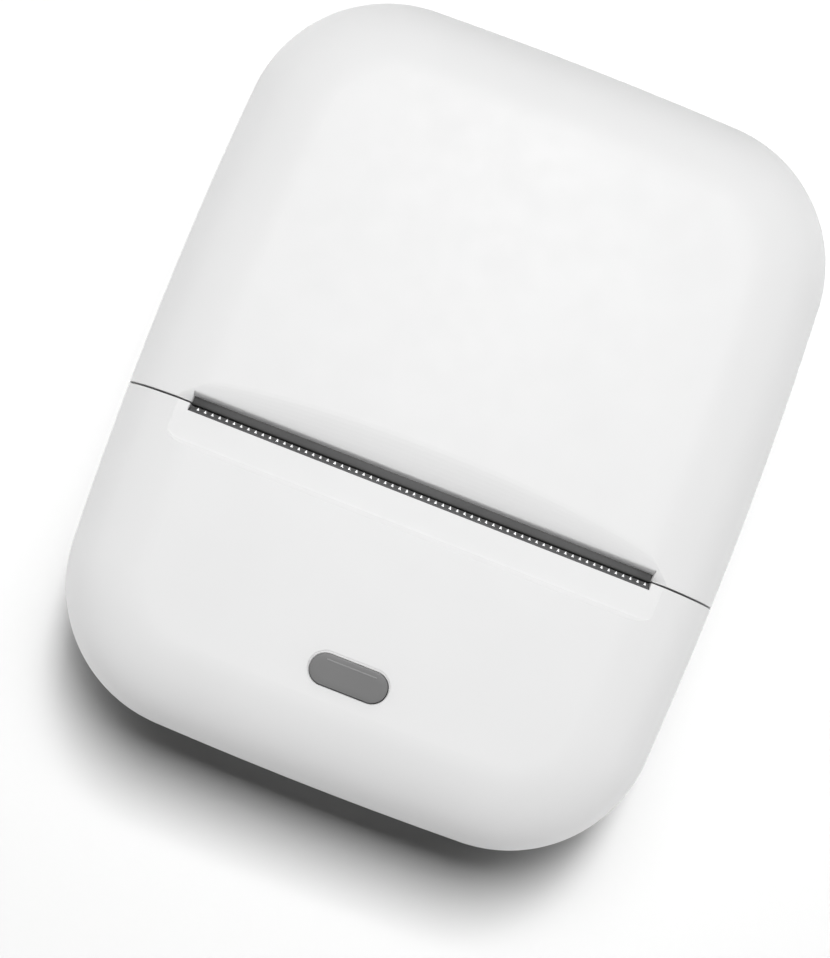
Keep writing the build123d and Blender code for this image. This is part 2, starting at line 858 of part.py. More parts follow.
def idler_axle():
    """Steel stub on the right cheek that carries the idler gear."""
    end = wheel_outer + axle_head
    axle = rod((cheek_inner, end), *idler_centre, axle_radius)
    return axle + rod((wheel_outer + running, end), *idler_centre, 2 * axle_radius)


def idler_gear():
    """Compound gear: the small wheel drives the platen, the big one meets the pinion."""
    small = gear(idler_small_teeth, (gear_inner, wheel_inner), idler_centre, platen_centre)
    big = gear(idler_big_teeth, (wheel_inner, wheel_outer), idler_centre, motor_centre)
    for k in range(web_holes):
        a = 2 * math.pi * (k + 0.5) / web_holes
        y = idler_centre[0] + web_hole_circle * math.cos(a)
        z = idler_centre[1] + web_hole_circle * math.sin(a)
        big -= rod((wheel_inner, wheel_outer), y, z, web_hole_radius)
    return small + big - rod((0, width), *idler_centre, axle_radius + running)


def stepper_motor():
    """Can motor with a front plate and pilot boss, inside the right cheek."""
    back = cheek_inner - motor_length
    front = cheek_inner - motor_plate
    can = rod((back, front), *motor_centre, motor_radius)
    can = fillet(can.edges().filter_by(GeomType.CIRCLE).sort_by(Axis.X)[0], motor_plate)
    ears = [Pos(s * motor_screw_y, s * motor_screw_z) * Circle(motor_ear_radius) for s in (-1, 1)]
    plate = make_hull(Circle(motor_radius).edges() + ears[0].edges() + ears[1].edges())
    can += extrude(Plane.YZ.offset(front) * Pos(*motor_centre) * plate, motor_plate)
    can += rod((cheek_inner, cheek_outer), *motor_centre, motor_boss_radius - running)
    can -= rod((0, width), *motor_centre, motor_shaft_radius + running)
    for at in motor_screw_places():
        can -= rod((front, cheek_inner), *at, motor_screw_radius)
    return can


def motor_screws():
    """Two small screws from outside the cheek into the motor plate."""
    screws = []
    for at in motor_screw_places():
        head = rod((cheek_outer, cheek_outer + motor_screw_radius), *at, motor_screw_head)
        shank = rod((cheek_inner - motor_screw_tip, cheek_outer), *at, motor_screw_radius - thread_gap)
        screws.append(head + shank)
    return Compound(children=screws)


def motor_shaft():
    """Rotor shaft, from the back of the can to the pinion."""
    return rod((cheek_inner - motor_length + rotor_inset, wheel_outer), *motor_centre, motor_shaft_radius)


def motor_pinion():
    """Brass pinion pressed on the motor shaft."""
    x = (wheel_inner, wheel_outer)
    wheel = gear(pinion_teeth, x, motor_centre, idler_centre, tooth=False)
    hub = rod((cheek_outer + motor_hub_gap, wheel_inner), *motor_centre, motor_hub_radius)
    return wheel + hub - rod((0, width), *motor_centre, motor_shaft_radius)


def print_head():
    """Ceramic heater plate with its raised heater line facing the platen."""
    step = head_face - heater_line
    plate = block((-head_half, head_half), (sink_front, step), (head_low, head_high))
    line_z = (platen_z - heater_half, platen_z + heater_half)
    return plate + block((-head_half, head_half), (step, head_face), line_z)


def head_heatsink():
    """Aluminium carrier behind the ceramic, with fins, pivot pins and spring seats."""
    body = block((-head_half, head_half), (sink_back, sink_front), (head_low, head_high))
    pitch = 2 * head_half / (sink_slots + 1)
    slot_y = (sink_back, sink_back + sink_slot_depth)
    for k in range(sink_slots):
        x = (k + 1) * pitch - head_half
        body -= block((x - sink_slot_half, x + sink_slot_half), slot_y, (head_low + sink_foot, head_high))
    pin_x = (head_half - root_bite, cheek_outer - 2 * running)
    return body + both_sides(rod(pin_x, head_pivot_y, head_pivot_z, pivot_pin_radius))


def head_springs():
    """Two short compression springs that press the head onto the platen."""
    coils = []
    for sx in (-1, 1):
        free = spring_length - 2 * spring_wire
        coil = Helix(free / spring_turns, free, spring_radius)
        start = Plane(origin=coil @ 0, z_dir=coil % 0)
        wire = sweep(start * Circle(spring_wire / 2), path=coil)
        coils.append(Pos(sx * spring_x, sink_back - spring_wire, spring_z) * Rot(90, 0, 0) * wire)
    return Compound(children=coils)


def tear_blade():
    """Serrated steel strip in the front casing's edge, its teeth pointing into the slot."""
    back = parting_y - front_setback
    top = height - tray_depth - blade_drop
    count = tooth_count
    half = slot_width / 2 - fit
    leg = block((-half, half), (back, back + blade_thick), (top - blade_leg, top))
    root = back + blade_thick
    teeth = []
    start = -count * tooth_pitch / 2
    points = [(-half, back), (-half, root)]
    for k in range(count):
        points.append((start + k * tooth_pitch, root))
        points.append((start + (k + 0.5) * tooth_pitch, root + tooth_reach))
    points += [(start + count * tooth_pitch, root), (half, root), (half, back)]
    comb = make_face(Polyline(*points, close=True))
    return leg + extrude(Pos(0, 0, top - blade_thick) * comb, blade_thick)


def power_button():
    """Stadium cap with a rounded rim, a flange under the face and a short stem."""
    cap = stadium(0, (flange_low, height + button_proud))
    cap = fillet(cap.edges().group_by(Axis.Z)[-1], button_rim)
    cap += stadium(button_flange_margin, (flange_low, flange_low + button_flange))
    return cap + post(0, button_y, (switch_top + plunger_rise, flange_low), plunger_radius - stem_step)


def switch_plunger():
    """Round plunger of the push switch, under the button's stem."""
    return post(0, button_y, (switch_top - plunger_sunk, switch_top + plunger_rise), plunger_radius)


def tact_switch():
    """Push switch on the board under the button."""
    half = switch_size / 2
    body = block((-half, half), (button_y - half, button_y + half), (board_top, switch_top))
    body = chamfer(body.edges().group_by(Axis.Z)[-1], switch_chamfer)
    return body - post(0, button_y, (switch_top - switch_well, height), plunger_radius + running)


def main_board():
    """Circuit board under the face, screwed to the front casing's bosses."""
    middle = (board_front + board_back) / 2
    face = RectangleRounded(2 * board_half, board_back - board_front, board_corner)
    board = extrude(Pos(0, middle, board_bottom) * face, board_thick)
    for x, y in board_screw_places():
        board -= post(x, y, (0, height), screw_radius + fit)
    return board


def board_screw_places():
    """Centres of the four board screws."""
    return [(sx * board_screw_x, y) for y in (board_screw_front, board_screw_back) for sx in (-1, 1)]


def board_screws():
    """Four screws from below the board into the bosses."""
    head = board_bottom - screw_head_height
    tip = board_top + screw_bite
    return Compound(children=[screw(x, y, head, tip, crossed=False) for x, y in board_screw_places()])


def usb_socket():
    """Steel shell of the charging socket with its tongue, facing the button end."""
    z = board_bottom - usb_height / 2
    y = wall + usb_set_back - length / 2
    corner = usb_height / 2 - running
    inside = 2 * usb_shell
    section = RectangleRounded(usb_width, usb_height, corner)
    hollow = RectangleRounded(usb_width - inside, usb_height - inside, corner - usb_shell)
    at = Pos(0, y, z) * Rot(90, 0, 0)
    body = extrude(at * section, -usb_depth) - extrude(at * hollow, -(usb_depth - usb_back))
    tongue_y = (y + usb_back, y + usb_depth - usb_back / 2)
    return body + block((-tongue_half, tongue_half), tongue_y, (z - tongue_half_thick, z + tongue_half_thick))


def status_led():
    """Two light-emitting chips beside the switch, under the button's translucent rim."""
    chips = []
    for sx in (-1, 1):
        x = sx * (switch_size / 2 + led_side)
        chips.append(Pos(x, button_y, board_top + led_size[2] / 2) * Box(*led_size))
    return Compound(children=chips)


def radio_module():
    """Shielded radio module on the board."""
    y = board_back - radio_back - radio_size[1] / 2
    can = Pos(0, y, board_top + radio_size[2] / 2) * Box(*radio_size)
    return fillet(can.edges().filter_by(Axis.Z), radio_corner)


def board_chips():
    """Controller, motor driver and power chips on the underside."""
    chips = []
    places = (
        (controller, controller_side - board_half, controller_back),
        (driver, board_half - driver_side, driver_back),
        (power_chip, board_half - power_side, power_back),
    )
    for size, x, back in places:
        chips.append(Pos(x, board_back - back, board_bottom - size[2] / 2) * Box(*size))
    return Compound(children=chips)


def header(x, y):
    """A two-way wire header under the board."""
    return block((x - header_half_x, x + header_half_x), (y - header_half_y, y + header_half_y),
                 (board_bottom - header_height, board_bottom))


def board_connectors():
    """Wire headers for the battery and motor, and the flat cable's latch connector."""
    half = flex_half + latch_side
    latch = block((-half, half), (flex_header_y - latch_length, flex_header_y),
                  (board_bottom - latch_height, board_bottom))
    headers = [header(battery_header_x, battery_header_y), header(motor_header_x, motor_header_y)]
    return Compound(children=headers + [latch])


def battery_cell():
    """Flat pouch cell on the floor of the bottom case."""
    cell = block((-battery_half, battery_half), (battery_front, battery_back), (cell_low, cell_top))
    return fillet(cell.edges().filter_by(Axis.X), battery_corner)


def battery_tape():
    """Foam tape that holds the cell to the floor."""
    half = battery_half - tape_inset
    return block((-half, half), (battery_front + tape_inset, battery_back - tape_inset), (floor, cell_low))


def wires(route, bend, across):
    """Two insulated wires along one route, side by side in the direction of across."""
    path = FilletPolyline(*route, radius=bend)
    pair = []
    for s in (-0.5, 0.5):
        line = Pos(*(across * (s * lead_pitch))) * path
        pair.append(sweep(Plane(origin=line @ 0, z_dir=line % 0) * Circle(lead_radius), path=line))
    return Compound(children=pair)


def battery_lead():
    """Red and black wires from the cell up to the board's header."""
    x = battery_header_x
    z = board_bottom - header_height / 2
    start_y = battery_header_y - header_half_y
    turn_y = start_y - lead_turn
    return wires([(x, start_y, z), (x, turn_y, z), (x, turn_y, cell_top)], lead_bend, Vector(1, 0, 0))


def motor_lead():
    """Wires from the motor can up to the board's header."""
    x, y = motor_header_x, motor_header_y
    z = motor_z - motor_lead_drop
    route = [(cheek_inner - motor_length, y, z), (x, y, z), (x, y, board_bottom - header_height)]
    return wires(route, lead_bend, Vector(0, 1, 0))


def head_flex():
    """Flat cable from the foot of the print head to the latch connector."""
    high = board_bottom - latch_height / 2
    low = head_low + sink_foot / 5
    turn_y = sink_back - flex_behind
    route = [(0, sink_back, low), (0, turn_y, low), (0, turn_y, high), (0, flex_header_y, high)]
    path = FilletPolyline(*route, radius=flex_bend)
    start = Plane(origin=path @ 0, z_dir=path % 0, x_dir=(1, 0, 0))
    return sweep(start * Rectangle(2 * flex_half, flex_thick), path=path)


def paper_sensor():
    """Reflective sensor in the window of the guide wall."""
    half = sensor_width / 2 - running
    z = sensor_height / 2 - running
    y = (guide_back - guide_thick, guide_back + sensor_reach)
    return block((-half, half), y, (sensor_z - z, sensor_z + z))


nodes = [
    bottom_case, front_case, rubber_feet, case_screws, inner_frame, chassis, chassis_screws,
    head_springs, head_flex, battery_lead, motor_lead, stepper_motor, motor_screws, idler_axle,
    tear_blade, main_board, usb_socket, tact_switch, status_led, radio_module, board_chips,
    board_connectors, battery_cell, battery_tape, paper_sensor, board_screws, hinge_pin,
    paper_cover, platen_bracket, bracket_screws, platen_bushes, platen_shaft, platen_roller,
    platen_gear, shaft_clip, idler_gear, motor_shaft, motor_pinion, power_button,
    switch_plunger, print_head, head_heatsink,
]
os.makedirs("parts", exist_ok=True)
for node in nodes:
    write(node(), node.__name__)
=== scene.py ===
"""Looks of a pocket stencil printer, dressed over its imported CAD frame.

The printer lies on its back with the slotted face up. X runs along the paper slot, +Y towards the
hinge of the paper cover and +Z up, in metres, as in the frame.
"""
import math

import bmesh
import bpy
from mathutils import Matrix, Vector


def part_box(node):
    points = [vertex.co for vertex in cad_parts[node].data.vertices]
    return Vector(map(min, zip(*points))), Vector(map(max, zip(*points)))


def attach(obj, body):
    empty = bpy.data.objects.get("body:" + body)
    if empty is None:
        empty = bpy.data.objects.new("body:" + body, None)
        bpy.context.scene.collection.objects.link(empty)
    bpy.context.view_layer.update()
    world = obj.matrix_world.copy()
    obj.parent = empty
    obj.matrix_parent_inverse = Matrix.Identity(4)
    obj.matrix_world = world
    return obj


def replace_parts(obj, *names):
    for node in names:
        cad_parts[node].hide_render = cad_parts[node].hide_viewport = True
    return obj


MM = 0.001

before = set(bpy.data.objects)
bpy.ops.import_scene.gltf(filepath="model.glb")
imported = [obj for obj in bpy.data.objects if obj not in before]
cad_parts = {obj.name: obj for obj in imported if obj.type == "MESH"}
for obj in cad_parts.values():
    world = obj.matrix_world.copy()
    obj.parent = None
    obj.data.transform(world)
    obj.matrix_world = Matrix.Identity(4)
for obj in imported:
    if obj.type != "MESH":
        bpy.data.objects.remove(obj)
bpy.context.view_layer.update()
face_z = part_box("front_case")[1].z


# Camera

IMAGE_HEIGHT = 958
EYE_DISTANCE = 305 * MM
EYE_LEFT = math.radians(-0.3)
EYE_FRONT = math.radians(3.5)
PICTURE_TURN = math.radians(21.33)
FOCAL_PIXELS = 2462
AIM = Vector((-1.3 * MM, -8.8 * MM, face_z))


def place_camera():
    """Looks almost straight down on the face, with the printer turned clockwise in the picture."""
    data = bpy.data.cameras.new("camera")
    data.sensor_width = 36.0
    data.lens = data.sensor_width * FOCAL_PIXELS / IMAGE_HEIGHT
    data.clip_start, data.clip_end = 0.01, 20.0
    camera = bpy.data.objects.new("camera", data)
    away = Vector((-math.sin(EYE_LEFT), -math.sin(EYE_FRONT), 1.0)).normalized()
    up = Vector((-math.sin(PICTURE_TURN), math.cos(PICTURE_TURN), 0.0))
    right = up.cross(away).normalized()
    up = away.cross(right)
    turn = Matrix((right, up, away)).transposed()
    camera.matrix_world = Matrix.Translation(AIM + EYE_DISTANCE * away) @ turn.to_4x4()
    bpy.context.scene.collection.objects.link(camera)
    bpy.context.scene.camera = camera


# Finishes


class Nodes:
    """The nodes of one tree, under construction."""

    def __init__(self, tree):
        self.tree = tree

    def add(self, kind, inputs=None, **settings):
        """A node with its settings made and its inputs set, or linked where a socket is given."""
        node = self.tree.nodes.new(kind)
        for key, value in settings.items():
            setattr(node, key, value)
        for key, value in (inputs or {}).items():
            if isinstance(value, bpy.types.NodeSocket):
                self.tree.links.new(value, node.inputs[key])
            else:
                node.inputs[key].default_value = value
        return node

    def math(self, operation, a, b=0.0):
        """One arithmetic step."""
        return self.add("ShaderNodeMath", {0: a, 1: b}, operation=operation).outputs["Value"]


def paint(colour):
    """A colour in the form that a shader's input takes. A socket stays as it is."""
    return colour if isinstance(colour, bpy.types.NodeSocket) else (*colour[:3], 1.0)


class Finish(Nodes):
    """A material under construction: a Principled shader and the nodes that feed it."""

    def __init__(self, name, colour, roughness, metallic=0.0):
        self.material = bpy.data.materials.new(name)
        self.material.use_nodes = True
        super().__init__(self.material.node_tree)
        self.shader = self.tree.nodes["Principled BSDF"]
        self.set(Base_Color=paint(colour), Roughness=roughness, Metallic=metallic)
        self.place = self.add("ShaderNodeTexCoord").outputs["Object"]
        self.normal = None

    def noise(self, size, detail=3.0, stretch=(1.0, 1.0, 1.0), roughness=0.5):
        """Values of about 0 to 1 that change over the given size, in metres."""
        mapping = self.add("ShaderNodeMapping", {"Vector": self.place, "Scale": stretch})
        return self.add("ShaderNodeTexNoise", {
            "Vector": mapping.outputs["Vector"], "Scale": 1.0 / size,
            "Detail": detail, "Roughness": roughness}).outputs["Fac"]

    def spread(self, value, low, high, start=0.3, end=0.7):
        """The value, spread from start..end over low..high."""
        return self.add("ShaderNodeMapRange", {
            "Value": value, "From Min": start, "From Max": end,
            "To Min": low, "To Max": high}).outputs["Result"]

    def mix(self, share, a, b):
        """Colour a where share is 0 and colour b where it is 1."""
        node = self.add("ShaderNodeMix", {0: share, 6: paint(a), 7: paint(b)}, data_type="RGBA")
        return node.outputs[2]

    def edges(self, radius):
        """0 on flat surfaces and up to 1 along edges, within the radius."""
        rounded = self.add("ShaderNodeBevel", {"Radius": radius}, samples=4).outputs["Normal"]
        plain = self.add("ShaderNodeNewGeometry").outputs["Normal"]
        facing = self.add("ShaderNodeVectorMath", {0: rounded, 1: plain}, operation="DOT_PRODUCT")
        return self.spread(facing.outputs["Value"], 1.0, 0.0, 0.75, 0.99)

    def round_edges(self, radius):
        """Lets the light run round the edges, as on a moulding or a tumbled part."""
        self.normal = self.add("ShaderNodeBevel", {"Radius": radius}, samples=6).outputs["Normal"]

    def bump(self, height, depth):
        """Raises the surface by up to depth, in metres, where the height is 1."""
        inputs = {"Height": height, "Distance": depth, "Strength": 1.0}
        if self.normal is not None:
            inputs["Normal"] = self.normal
        self.normal = self.add("ShaderNodeBump", inputs).outputs["Normal"]

    def link(self, value, name):
        """Feeds one of the shader's inputs."""
        self.tree.links.new(value, self.shader.inputs[name])

    def set(self, **numbers):
        """Sets the shader's own numbers. Underscores stand for spaces."""
        for name, value in numbers.items():
            self.shader.inputs[name.replace("_", " ")].default_value = value

    def done(self):
        """Connects the normal and gives the material."""
        if self.normal is not None:
            self.link(self.normal, "Normal")
        return self.material


def darker(colour, share):
    """A colour with its light multiplied by the share."""
    return tuple(c * share for c in colour[:3])


def moulded(name, colour, roughness=0.38, grain=0.16 * MM, depth=1.2e-6, edge=0.18 * MM,
            clean=0.985):
    """Injection-moulded plastic: spark-eroded grain, faint flow tone and softly rounded edges."""
    f = Finish(name, colour, roughness)
    flow = f.noise(14 * MM, detail=2.0)
    f.link(f.mix(f.spread(flow, 0.0, 1.0), colour, darker(colour, clean)), "Base Color")
    fine = f.noise(grain, detail=2.0)
    f.link(f.spread(f.noise(2.5 * MM), roughness - 0.03, roughness + 0.04), "Roughness")
    f.round_edges(edge)
    f.bump(fine, depth)
    f.set(IOR=1.52, Specular_IOR_Level=0.5)
    return f


def shell_white():
    """Satin white casing plastic."""
    f = moulded("shell white", (0.87, 0.87, 0.87), roughness=0.42)
    f.set(Coat_Weight=0.06, Coat_Roughness=0.25)
    return f.done()


def button_grey():
    """Grey translucent cap with a smooth top."""
    f = moulded("button grey", (0.154, 0.154, 0.154), roughness=0.45, depth=0.5e-6,
                edge=0.12 * MM, clean=0.93)
    f.set(Coat_Weight=0.3, Coat_Roughness=0.15)
    return f.done()


def grained_grey():
    """Spark-grained grey plastic round the paper's way out."""
    return moulded("guide grey", (0.115, 0.115, 0.115), roughness=0.6, grain=0.12 * MM, depth=12e-6,
                   edge=0.05 * MM, clean=0.8).done()


def rubber(name, colour, roughness=0.62):
    """Ground rubber: fine matt grain with a dusty tone."""
    f = Finish(name, colour, roughness)
    dust = f.noise(0.25 * MM, detail=5.0, roughness=0.7)
    f.link(f.mix(f.spread(dust, 0.0, 1.0), darker(colour, 0.75), darker(colour, 1.3)), "Base Color")
    f.round_edges(0.15 * MM)
    f.bump(f.noise(0.12 * MM, detail=4.0), 5e-6)
    f.set(Sheen_Weight=0.15, Sheen_Roughness=0.4)
    return f.done()


def metal(name, colour, roughness, grain=(1.0, 1.0, 1.0), grain_size=0.2 * MM, stain=0.8,
          edge=0.1 * MM):
    """Worked metal: fine marks along the grain, a cloudy tone and bright worn edges."""
    f = Finish(name, colour, roughness, metallic=1.0)
    cloud = f.noise(3.0 * MM, detail=4.0)
    toned = f.mix(f.spread(cloud, 0.0, 1.0), colour, darker(colour, stain))
    f.link(f.mix(f.edges(edge), toned, tuple(min(1.0, c * 1.25) for c in colour)), "Base Color")
    marks = f.noise(grain_size, detail=3.0, stretch=grain)
    f.link(f.spread(marks, roughness * 0.75, roughness * 1.35), "Roughness")
    f.round_edges(edge)
    f.bump(marks, 1.5e-6)
    return f.done()


def ceramic():
    """Glazed heater plate, in one speckled finish: the glass line along it gets no dark colour of
    its own.
    """
    colour = (0.62, 0.60, 0.54)
    f = Finish("heater ceramic", colour, 0.35)
    speck = f.noise(0.3 * MM, detail=5.0)
    f.link(f.mix(f.spread(speck, 0.0, 1.0, 0.5, 0.75), colour, darker(colour, 0.7)), "Base Color")
    f.link(f.spread(f.noise(1.5 * MM), 0.22, 0.4), "Roughness")
    f.round_edges(0.08 * MM)
    return f.done()


def board_green():
    """Solder mask over copper tracks and tinned pads."""
    mask, track, pad = (0.012, 0.075, 0.03), (0.02, 0.12, 0.05), (0.62, 0.6, 0.55)
    f = Finish("board green", mask, 0.32)
    lanes = f.add("ShaderNodeTexBrick", {
        "Vector": f.place, "Scale": 1.0, "Mortar Size": 0.22 * MM, "Mortar Smooth": 0.1,
        "Brick Width": 5.2 * MM, "Row Height": 1.3 * MM, "Bias": 0.0}, offset=0.37)
    cells = f.add("ShaderNodeTexVoronoi", {"Vector": f.place, "Scale": 420.0, "Randomness": 0.75})
    dots = f.spread(cells.outputs["Distance"], 1.0, 0.0, 0.16, 0.2)
    tracks = f.mix(lanes.outputs["Fac"], mask, track)
    f.link(f.mix(dots, tracks, pad), "Base Color")
    f.link(f.spread(dots, 0.34, 0.25, 0.0, 1.0), "Roughness")
    f.link(dots, "Metallic")
    f.bump(lanes.outputs["Fac"], 8e-6)
    f.set(Coat_Weight=0.3, Coat_Roughness=0.2)
    return f.done()


def flex_film():
    """Amber film with copper lines along it."""
    film, copper = (0.42, 0.17, 0.03), (0.75, 0.36, 0.12)
    f = Finish("flex film", film, 0.28)
    lines = f.add("ShaderNodeTexWave", {
        "Vector": f.place, "Scale": 157.0, "Distortion": 0.0},
        wave_type="BANDS", bands_direction="X")
    share = f.spread(lines.outputs["Fac"], 0.0, 1.0, 0.45, 0.55)
    f.link(f.mix(share, film, copper), "Base Color")
    f.link(share, "Metallic")
    f.link(f.spread(f.noise(0.8 * MM), 0.22, 0.38), "Roughness")
    f.set(Coat_Weight=0.4, Coat_Roughness=0.12)
    return f.done()


def wire_cover(split_axis, split_at):
    """Two insulated wires, red and black, told apart by their place."""
    red, black = (0.45, 0.02, 0.015), (0.015, 0.015, 0.017)
    f = Finish("wire cover", red, 0.42)
    part = f.add("ShaderNodeSeparateXYZ", {"Vector": f.place}).outputs[split_axis]
    share = f.math("GREATER_THAN", part, split_at)
    f.link(f.mix(share, red, black), "Base Color")
    f.link(f.spread(f.noise(0.9 * MM), 0.36, 0.5), "Roughness")
    f.bump(f.noise(0.15 * MM), 2e-6)
    return f.done()


def cell_foil():
    """Crinkled aluminium laminate of the pouch cell."""
    colour = (0.62, 0.63, 0.65)
    f = Finish("cell foil", colour, 0.3, metallic=0.85)
    crease = f.noise(5.0 * MM, detail=6.0, stretch=(1.0, 0.45, 1.0))
    f.link(f.mix(f.spread(crease, 0.0, 1.0), colour, darker(colour, 0.78)), "Base Color")
    f.link(f.spread(f.noise(1.2 * MM), 0.24, 0.42), "Roughness")
    f.bump(crease, 60e-6)
    return f.done()


def foam():
    """Open cells of the black tape's edge, darker in the cells' hollows than on their walls:
    painted shade.
    """
    f = Finish("foam tape", (0.03, 0.03, 0.032), 0.9)
    cells = f.add("ShaderNodeTexVoronoi", {"Vector": f.place, "Scale": 3500.0}).outputs["Distance"]
    # Darker where the bump sinks into each cell: painted shade in the hollows.
    share = f.spread(cells, 0.0, 1.0, 0.1, 0.5)
    f.link(f.mix(share, (0.012, 0.012, 0.013), (0.06, 0.06, 0.063)), "Base Color")
    f.bump(cells, 40e-6)
    return f.done()


def led_resin():
    """Clear resin over a warm phosphor dot."""
    clear, dot = (0.9, 0.88, 0.7), (0.85, 0.78, 0.42)
    f = Finish("led resin", dot, 0.2)
    f.link(f.mix(f.spread(f.noise(0.5 * MM), 0.0, 1.0), dot, clear), "Base Color")
    f.set(Transmission_Weight=0.3, IOR=1.5, Coat_Weight=0.5, Coat_Roughness=0.05)
    return f.done()


def dress(names, material):
    """Gives the named CAD nodes a finish."""
    for name in names:
        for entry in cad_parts[name].material_slots:
            entry.material = material


def dress_all():
    """A finish for every CAD node. Gives the casing's, which the scene's own pieces share."""
    shell = shell_white()
    dress(["bottom_case", "front_case", "paper_cover"], shell)
    bin_grey = moulded("bin grey", (0.56, 0.57, 0.58), roughness=0.45, clean=0.94).done()
    dress(["inner_frame"], bin_grey)
    dress(["rubber_feet"], rubber("foot rubber", (0.09, 0.09, 0.092)))
    dress(["platen_roller"], rubber("platen rubber", (0.05, 0.05, 0.052), roughness=0.55))
    sheet = metal("zinc sheet", (0.58, 0.59, 0.60), 0.34, grain=(0.05, 1.0, 1.0), stain=0.97)
    dress(["chassis", "platen_bracket"], sheet)
    dress(["case_screws", "chassis_screws", "board_screws", "bracket_screws", "motor_screws"],
          metal("screw steel", (0.50, 0.50, 0.51), 0.28, grain=(1.0, 1.0, 0.2)))
    dress(["hinge_pin", "platen_shaft", "idler_axle", "motor_shaft", "shaft_clip"],
          metal("pin steel", (0.66, 0.66, 0.67), 0.2, grain=(0.15, 1.0, 1.0)))
    dress(["stepper_motor", "usb_socket", "radio_module"],
          metal("drawn steel", (0.60, 0.61, 0.62), 0.25, grain=(0.12, 1.0, 1.0)))
    dress(["head_heatsink"],
          metal("sink aluminium", (0.72, 0.73, 0.74), 0.36, grain=(0.1, 1.0, 1.0)))
    dress(["motor_pinion"], metal("pinion brass", (0.78, 0.57, 0.27), 0.24))
    gears = moulded("gear acetal", (0.74, 0.73, 0.69), roughness=0.4, edge=0.06 * MM,
                    clean=0.95).done()
    dress(["platen_gear", "idler_gear"], gears)
    dress(["platen_bushes"],
          moulded("bush nylon", (0.045, 0.045, 0.047), roughness=0.42, clean=0.8).done())
    dress(["board_connectors"],
          moulded("header nylon", (0.70, 0.68, 0.62), roughness=0.45, clean=0.94).done())
    dress(["tact_switch", "switch_plunger", "paper_sensor", "board_chips"],
          moulded("black moulding", (0.022, 0.022, 0.024), roughness=0.42, clean=0.7).done())
    dress(["print_head"], ceramic())
    dress(["main_board"], board_green())
    dress(["head_flex"], flex_film())
    dress(["battery_lead"], wire_cover("X", sum(c.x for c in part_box("battery_lead")) / 2))
    dress(["motor_lead"], wire_cover("Y", sum(c.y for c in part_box("motor_lead")) / 2))
    dress(["battery_cell"], cell_foil())
    dress(["battery_tape"], foam())
    dress(["status_led"], led_resin())
    return shell


# Making pieces


def loft(name, sections, material, sharp, caps=True):
    """A closed mesh through equal sections, smooth except at edges sharper than the angle."""
    form = bmesh.new()
    rings = [[form.verts.new(point) for point in section] for section in sections]
    if not caps:
        rings[-1] = rings[0]
    count = len(rings[0])
    for one, two in zip(rings, rings[1:]):
        for k in range(count):
            form.faces.new((one[k], one[(k + 1) % count], two[(k + 1) % count], two[k]))
    if caps:
        form.faces.new(rings[0])
        form.faces.new(rings[-1])
    bmesh.ops.recalc_face_normals(form, faces=form.faces)
    mesh = bpy.data.meshes.new(name)
    form.to_mesh(mesh)
    form.free()
    mesh.shade_smooth()
    mesh.set_sharp_from_angle(angle=math.radians(sharp))
    mesh.materials.append(material)
    piece = bpy.data.objects.new(name, mesh)
    bpy.context.scene.collection.objects.link(piece)
    return piece


def bar(name, outline, ends, material, sharp):
    """A straight piece along X, with its outline given in Y and Z."""
    return loft(name, [[(x, y, z) for y, z in outline] for x in ends], material, sharp)


def own(piece, body, slot, *nodes):
    """Puts the piece on its body and hides the CAD nodes that it stands for. The slot is not used.
    """
    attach(piece, body)
    if nodes:
        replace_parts(piece, *nodes)


# Pieces that repeat, by Geometry Nodes


